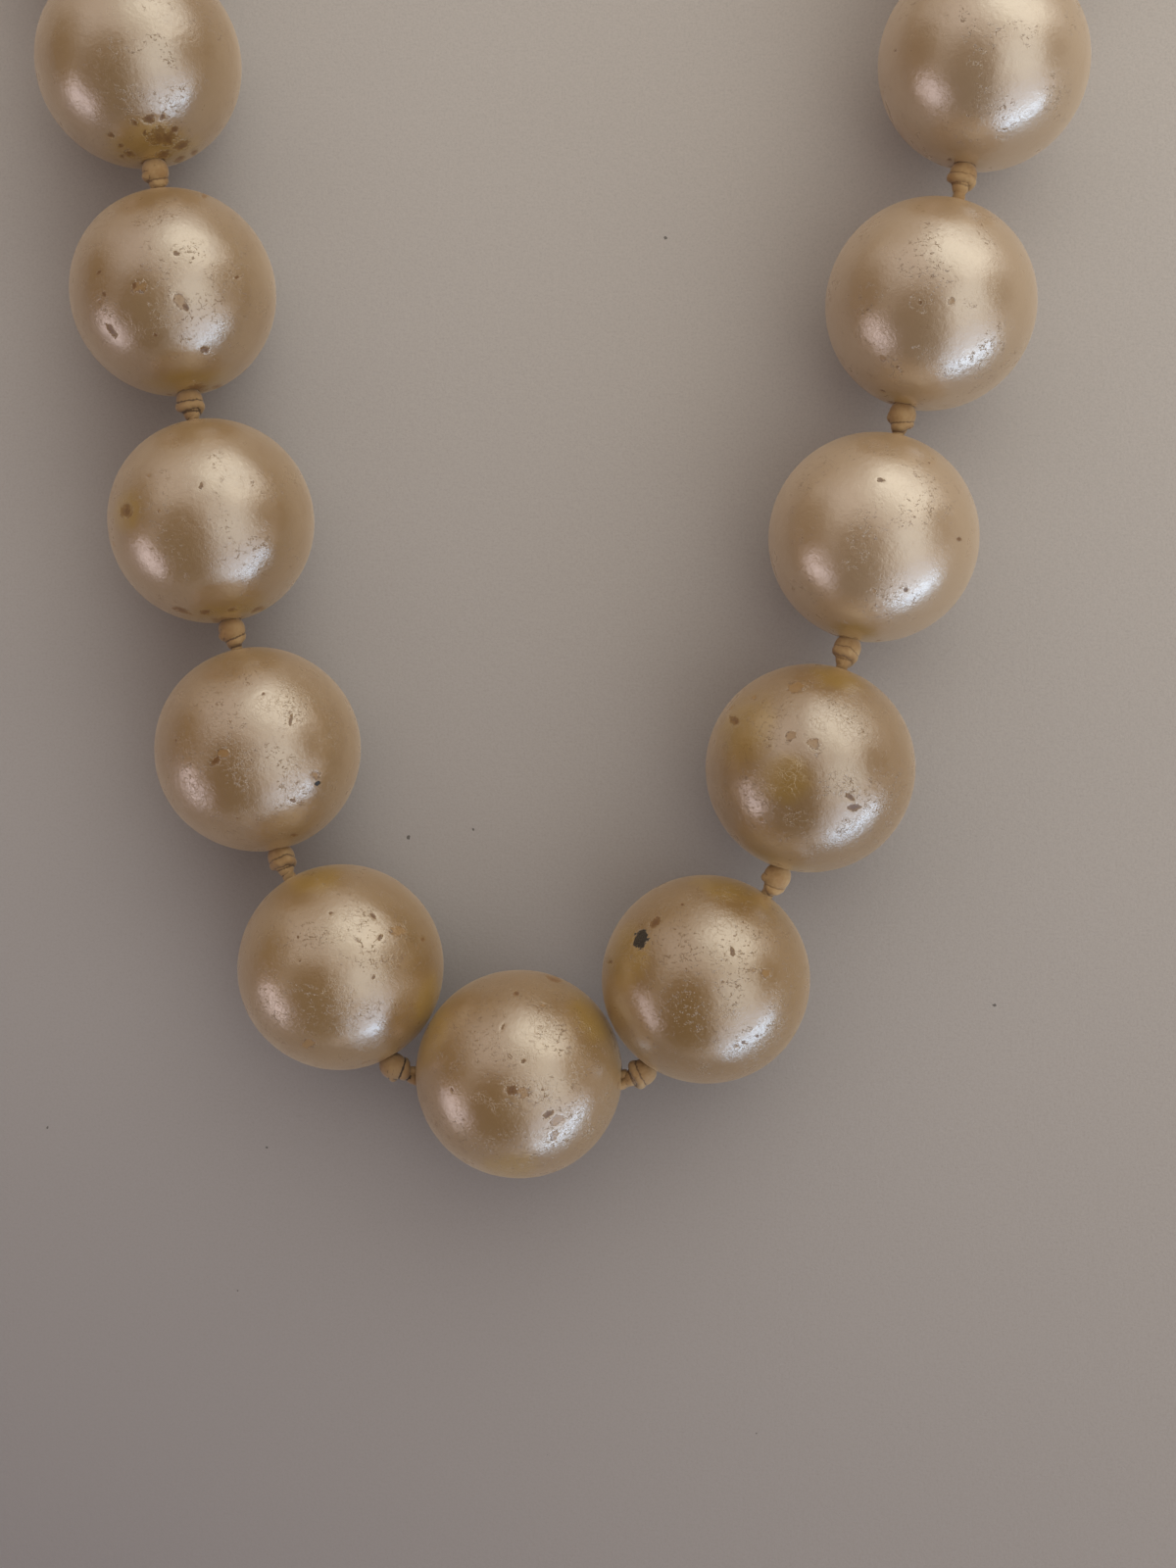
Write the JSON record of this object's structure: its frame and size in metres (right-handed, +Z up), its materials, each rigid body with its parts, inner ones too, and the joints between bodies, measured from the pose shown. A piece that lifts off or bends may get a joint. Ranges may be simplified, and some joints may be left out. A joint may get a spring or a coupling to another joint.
{
  "type": "pearl necklace",
  "caption": "Single strand of large round champagne imitation pearls with a knot between every two, laid open in a U, with a lobster clasp at one end and its catch tab at the other.",
  "frame": {"origin": "On the table, under the middle of the outline of the strand as it lies", "axes": "+Z up from the table. +Y from the middle pearl up the two legs to the clasp. +X from the leg with the catch tab to the leg with the clasp."},
  "size_m": [0.0788, 0.1856, 0.012],
  "materials": {
    "pearl_coating": "pearlescent champagne lacquer, worn",
    "thread": "twisted thread, grimy",
    "bullion": "fine coiled wire over the thread",
    "gold_tone": "gold-tone plate, lightly worn",
    "steel": "plain"
  },
  "bodies": {
    "middle": {"cord_middle": "thread"},
    "pearl_middle": {"pearl_middle": "pearl_coating"},
    "pearl_left_01": {"pearl_left_01": "pearl_coating"},
    "cord_left_01": {"cord_left_01": "thread"},
    "pearl_left_02": {"pearl_left_02": "pearl_coating"},
    "cord_left_02": {"cord_left_02": "thread"},
    "pearl_left_03": {"pearl_left_03": "pearl_coating"},
    "cord_left_03": {"cord_left_03": "thread"},
    "pearl_left_04": {"pearl_left_04": "pearl_coating"},
    "cord_left_04": {"cord_left_04": "thread"},
    "pearl_left_05": {"pearl_left_05": "pearl_coating"},
    "cord_left_05": {"cord_left_05": "thread"},
    "pearl_left_06": {"pearl_left_06": "pearl_coating"},
    "cord_left_06": {"cord_left_06": "thread"},
    "pearl_left_07": {"pearl_left_07": "pearl_coating"},
    "cord_left_07": {"cord_left_07": "thread"},
    "pearl_left_08": {"pearl_left_08": "pearl_coating"},
    "cord_left_08": {"cord_left_08": "thread"},
    "pearl_left_09": {"pearl_left_09": "pearl_coating"},
    "cord_left_09": {"cord_left_09": "thread"},
    "pearl_left_10": {"pearl_left_10": "pearl_coating"},
    "cord_left_10": {"cord_left_10": "thread"},
    "pearl_left_11": {"pearl_left_11": "pearl_coating"},
    "cord_left_11": {"cord_left_11": "thread"},
    "pearl_left_12": {"pearl_left_12": "pearl_coating"},
    "cord_left_12": {"cord_left_12": "thread"},
    "end_loop_left": {"end_loop_left": "bullion"},
    "jump_ring_left": {"jump_ring_left": "gold_tone"},
    "pearl_right_01": {"pearl_right_01": "pearl_coating"},
    "cord_right_01": {"cord_right_01": "thread"},
    "pearl_right_02": {"pearl_right_02": "pearl_coating"},
    "cord_right_02": {"cord_right_02": "thread"},
    "pearl_right_03": {"pearl_right_03": "pearl_coating"},
    "cord_right_03": {"cord_right_03": "thread"},
    "pearl_right_04": {"pearl_right_04": "pearl_coating"},
    "cord_right_04": {"cord_right_04": "thread"},
    "pearl_right_05": {"pearl_right_05": "pearl_coating"},
    "cord_right_05": {"cord_right_05": "thread"},
    "pearl_right_06": {"pearl_right_06": "pearl_coating"},
    "cord_right_06": {"cord_right_06": "thread"},
    "pearl_right_07": {"pearl_right_07": "pearl_coating"},
    "cord_right_07": {"cord_right_07": "thread"},
    "pearl_right_08": {"pearl_right_08": "pearl_coating"},
    "cord_right_08": {"cord_right_08": "thread"},
    "pearl_right_09": {"pearl_right_09": "pearl_coating"},
    "cord_right_09": {"cord_right_09": "thread"},
    "pearl_right_10": {"pearl_right_10": "pearl_coating"},
    "cord_right_10": {"cord_right_10": "thread"},
    "pearl_right_11": {"pearl_right_11": "pearl_coating"},
    "cord_right_11": {"cord_right_11": "thread"},
    "pearl_right_12": {"pearl_right_12": "pearl_coating"},
    "cord_right_12": {"cord_right_12": "thread"},
    "end_loop_right": {"end_loop_right": "bullion"},
    "jump_ring_right": {"jump_ring_right": "gold_tone"},
    "clasp": {"clasp_body": "gold_tone", "clasp_pin": "steel", "clasp_spring": "steel"},
    "clasp_lever": {"clasp_lever": "gold_tone"},
    "catch_tab": {"catch_tab": "gold_tone"}
  },
  "joints": [
    {"name": "clasp_swing", "type": "hinge", "parent": "jump_ring_right", "child": "clasp", "pos_m": [0.03342, 0.07852, 0.0015], "axis": [-1, 0, 0], "range_deg": [-20, 60]},
    {"name": "lever_press", "type": "hinge", "parent": "clasp", "child": "clasp_lever", "pos_m": [0.03252, 0.08457, 0.0015], "axis": [0, 0, -1], "range_deg": [0, 26], "stiffness_Nm_per_rad": 0.01, "springref_deg": -20.05},
    {"name": "tab_swing", "type": "hinge", "parent": "jump_ring_left", "child": "catch_tab", "pos_m": [-0.03342, 0.07927, 0.00145], "axis": [-1, 0, 0], "range_deg": [-20, 60]},
    {"name": "loop_left", "type": "hinge", "parent": "cord_left_12", "child": "end_loop_left", "pos_m": [-0.03342, 0.07499, 0.006], "axis": [-1, 0, 0], "range_deg": [-90, 19]},
    {"name": "ring_left", "type": "hinge", "parent": "end_loop_left", "child": "jump_ring_left", "pos_m": [-0.03342, 0.07813, 0.00378], "axis": [-1, 0, 0], "range_deg": [-50, 60]},
    {"name": "loop_right", "type": "hinge", "parent": "cord_right_12", "child": "end_loop_right", "pos_m": [0.03342, 0.07372, 0.006], "axis": [-1, 0, 0], "range_deg": [-90, 19]},
    {"name": "ring_right", "type": "hinge", "parent": "end_loop_right", "child": "jump_ring_right", "pos_m": [0.03342, 0.07686, 0.00378], "axis": [-1, 0, 0], "range_deg": [-50, 60]},
    {"name": "knot_left_01", "type": "hinge", "parent": "middle", "child": "pearl_left_01", "pos_m": [-0.00905, -0.08677, 0.006], "axis": [0, 0, -1], "range_deg": [-115, 0]},
    {"name": "knot_left_02", "type": "hinge", "parent": "cord_left_01", "child": "pearl_left_02", "pos_m": [-0.016, -0.07473, 0.006], "axis": [0, 0, -1], "range_deg": [-72, 21]},
    {"name": "knot_left_03", "type": "hinge", "parent": "cord_left_02", "child": "pearl_left_03", "pos_m": [-0.01909, -0.06133, 0.006], "axis": [0, 0, 1], "range_deg": [-23, 57]},
    {"name": "knot_left_04", "type": "hinge", "parent": "cord_left_03", "child": "pearl_left_04", "pos_m": [-0.0217, -0.04789, 0.006], "axis": [0, 0, -1], "range_deg": [-57, 26]},
    {"name": "knot_left_05", "type": "hinge", "parent": "cord_left_04", "child": "pearl_left_05", "pos_m": [-0.02386, -0.03431, 0.006], "axis": [0, 0, 1], "range_deg": [-29, 55]},
    {"name": "knot_left_06", "type": "hinge", "parent": "cord_left_05", "child": "pearl_left_06", "pos_m": [-0.02601, -0.02072, 0.006], "axis": [0, 0, 1], "range_deg": [-32, 56]},
    {"name": "knot_left_07", "type": "hinge", "parent": "cord_left_06", "child": "pearl_left_07", "pos_m": [-0.02791, -0.00716, 0.006], "axis": [0, 0, 1], "range_deg": [-37, 56]},
    {"name": "knot_left_08", "type": "hinge", "parent": "cord_left_07", "child": "pearl_left_08", "pos_m": [-0.02959, 0.00649, 0.006], "axis": [0, 0, -1], "range_deg": [-56, 44]},
    {"name": "knot_left_09", "type": "hinge", "parent": "cord_left_08", "child": "pearl_left_09", "pos_m": [-0.03103, 0.02016, 0.006], "axis": [0, 0, -1], "range_deg": [-56, 53]},
    {"name": "knot_left_10", "type": "hinge", "parent": "cord_left_09", "child": "pearl_left_10", "pos_m": [-0.03222, 0.03381, 0.006], "axis": [0, 0, 1], "range_deg": [-53, 57]},
    {"name": "knot_left_11", "type": "hinge", "parent": "cord_left_10", "child": "pearl_left_11", "pos_m": [-0.03294, 0.04754, 0.006], "axis": [0, 0, -1], "range_deg": [-56, 54]},
    {"name": "knot_left_12", "type": "hinge", "parent": "cord_left_11", "child": "pearl_left_12", "pos_m": [-0.03342, 0.06129, 0.006], "axis": [0, 0, 1], "range_deg": [-53, 57]},
    {"name": "knot_right_01", "type": "hinge", "parent": "middle", "child": "pearl_right_01", "pos_m": [0.0048, -0.08677, 0.006], "axis": [0, 0, -1], "range_deg": [0, 110]},
    {"name": "knot_right_02", "type": "hinge", "parent": "cord_right_01", "child": "pearl_right_02", "pos_m": [0.01266, -0.07555, 0.006], "axis": [0, 0, 1], "range_deg": [-73, 20]},
    {"name": "knot_right_03", "type": "hinge", "parent": "cord_right_02", "child": "pearl_right_03", "pos_m": [0.01666, -0.06245, 0.006], "axis": [0, 0, 1], "range_deg": [-59, 21]},
    {"name": "knot_right_04", "type": "hinge", "parent": "cord_right_03", "child": "pearl_right_04", "pos_m": [0.01975, -0.0491, 0.006], "axis": [0, 0, -1], "range_deg": [-23, 54]},
    {"name": "knot_right_05", "type": "hinge", "parent": "cord_right_04", "child": "pearl_right_05", "pos_m": [0.02311, -0.03561, 0.006], "axis": [0, 0, 1], "range_deg": [-59, 26]},
    {"name": "knot_right_06", "type": "hinge", "parent": "cord_right_05", "child": "pearl_right_06", "pos_m": [0.02553, -0.02187, 0.006], "axis": [0, 0, -1], "range_deg": [-30, 56]},
    {"name": "knot_right_07", "type": "hinge", "parent": "cord_right_06", "child": "pearl_right_07", "pos_m": [0.02768, -0.00829, 0.006], "axis": [0, 0, -1], "range_deg": [-35, 56]},
    {"name": "knot_right_08", "type": "hinge", "parent": "cord_right_07", "child": "pearl_right_08", "pos_m": [0.02959, 0.00528, 0.006], "axis": [0, 0, 1], "range_deg": [-57, 40]},
    {"name": "knot_right_09", "type": "hinge", "parent": "cord_right_08", "child": "pearl_right_09", "pos_m": [0.03103, 0.01895, 0.006], "axis": [0, 0, 1], "range_deg": [-56, 48]},
    {"name": "knot_right_10", "type": "hinge", "parent": "cord_right_09", "child": "pearl_right_10", "pos_m": [0.03222, 0.03265, 0.006], "axis": [0, 0, -1], "range_deg": [-53, 57]},
    {"name": "knot_right_11", "type": "hinge", "parent": "cord_right_10", "child": "pearl_right_11", "pos_m": [0.03294, 0.04633, 0.006], "axis": [0, 0, 1], "range_deg": [-56, 54]},
    {"name": "knot_right_12", "type": "hinge", "parent": "cord_right_11", "child": "pearl_right_12", "pos_m": [0.03342, 0.06002, 0.006], "axis": [0, 0, 1], "range_deg": [-57, 53]},
    {"name": "pearl_middle_spin", "type": "hinge", "parent": "middle", "child": "pearl_middle", "pos_m": [-0.00205, -0.08677, 0.006], "axis": [1, 0, 0], "continuous": true},
    {"name": "spin_left_01", "type": "hinge", "parent": "pearl_left_01", "child": "cord_left_01", "pos_m": [-0.01255, -0.08071, 0.006], "axis": [-0.5, 0.866, 0], "continuous": true},
    {"name": "spin_left_02", "type": "hinge", "parent": "pearl_left_02", "child": "cord_left_02", "pos_m": [-0.01755, -0.06801, 0.006], "axis": [-0.225, 0.9744, 0], "continuous": true},
    {"name": "spin_left_03", "type": "hinge", "parent": "pearl_left_03", "child": "cord_left_03", "pos_m": [-0.0204, -0.05461, 0.006], "axis": [-0.1908, 0.9816, 0], "continuous": true},
    {"name": "spin_left_04", "type": "hinge", "parent": "pearl_left_04", "child": "cord_left_04", "pos_m": [-0.02278, -0.04112, 0.006], "axis": [-0.1564, 0.9877, 0], "continuous": true},
    {"name": "spin_left_05", "type": "hinge", "parent": "pearl_left_05", "child": "cord_left_05", "pos_m": [-0.02494, -0.02749, 0.006], "axis": [-0.1564, 0.9877, 0], "continuous": true},
    {"name": "spin_left_06", "type": "hinge", "parent": "pearl_left_06", "child": "cord_left_06", "pos_m": [-0.02696, -0.01394, 0.006], "axis": [-0.1392, 0.9903, 0], "continuous": true},
    {"name": "spin_left_07", "type": "hinge", "parent": "pearl_left_07", "child": "cord_left_07", "pos_m": [-0.02875, -0.00036, 0.006], "axis": [-0.1219, 0.9925, 0], "continuous": true},
    {"name": "spin_left_08", "type": "hinge", "parent": "pearl_left_08", "child": "cord_left_08", "pos_m": [-0.03031, 0.01335, 0.006], "axis": [-0.1045, 0.9945, 0], "continuous": true},
    {"name": "spin_left_09", "type": "hinge", "parent": "pearl_left_09", "child": "cord_left_09", "pos_m": [-0.03162, 0.02699, 0.006], "axis": [-0.0872, 0.9962, 0], "continuous": true},
    {"name": "spin_left_10", "type": "hinge", "parent": "pearl_left_10", "child": "cord_left_10", "pos_m": [-0.03258, 0.04065, 0.006], "axis": [-0.0523, 0.9986, 0], "continuous": true},
    {"name": "spin_left_11", "type": "hinge", "parent": "pearl_left_11", "child": "cord_left_11", "pos_m": [-0.03318, 0.05444, 0.006], "axis": [-0.0349, 0.9994, 0], "continuous": true},
    {"name": "spin_left_12", "type": "hinge", "parent": "pearl_left_12", "child": "cord_left_12", "pos_m": [-0.03342, 0.06814, 0.006], "axis": [0, 1, 0], "continuous": true},
    {"name": "spin_right_01", "type": "hinge", "parent": "pearl_right_01", "child": "cord_right_01", "pos_m": [0.00873, -0.08116, 0.006], "axis": [0.5736, 0.8192, 0], "continuous": true},
    {"name": "spin_right_02", "type": "hinge", "parent": "pearl_right_02", "child": "cord_right_02", "pos_m": [0.01466, -0.069, 0.006], "axis": [0.2924, 0.9563, 0], "continuous": true},
    {"name": "spin_right_03", "type": "hinge", "parent": "pearl_right_03", "child": "cord_right_03", "pos_m": [0.01821, -0.05577, 0.006], "axis": [0.225, 0.9744, 0], "continuous": true},
    {"name": "spin_right_04", "type": "hinge", "parent": "pearl_right_04", "child": "cord_right_04", "pos_m": [0.0214, -0.04245, 0.006], "axis": [0.2419, 0.9703, 0], "continuous": true},
    {"name": "spin_right_05", "type": "hinge", "parent": "pearl_right_05", "child": "cord_right_05", "pos_m": [0.02433, -0.02867, 0.006], "axis": [0.1736, 0.9848, 0], "continuous": true},
    {"name": "spin_right_06", "type": "hinge", "parent": "pearl_right_06", "child": "cord_right_06", "pos_m": [0.02661, -0.01506, 0.006], "axis": [0.1564, 0.9877, 0], "continuous": true},
    {"name": "spin_right_07", "type": "hinge", "parent": "pearl_right_07", "child": "cord_right_07", "pos_m": [0.02864, -0.00151, 0.006], "axis": [0.1392, 0.9903, 0], "continuous": true},
    {"name": "spin_right_08", "type": "hinge", "parent": "pearl_right_08", "child": "cord_right_08", "pos_m": [0.03031, 0.01209, 0.006], "axis": [0.1045, 0.9945, 0], "continuous": true},
    {"name": "spin_right_09", "type": "hinge", "parent": "pearl_right_09", "child": "cord_right_09", "pos_m": [0.03163, 0.02583, 0.006], "axis": [0.0872, 0.9962, 0], "continuous": true},
    {"name": "spin_right_10", "type": "hinge", "parent": "pearl_right_10", "child": "cord_right_10", "pos_m": [0.03258, 0.03949, 0.006], "axis": [0.0523, 0.9986, 0], "continuous": true},
    {"name": "spin_right_11", "type": "hinge", "parent": "pearl_right_11", "child": "cord_right_11", "pos_m": [0.03318, 0.05318, 0.006], "axis": [0.0349, 0.9994, 0], "continuous": true},
    {"name": "spin_right_12", "type": "hinge", "parent": "pearl_right_12", "child": "cord_right_12", "pos_m": [0.03342, 0.06687, 0.006], "axis": [0, 1, 0], "continuous": true}
  ]
}
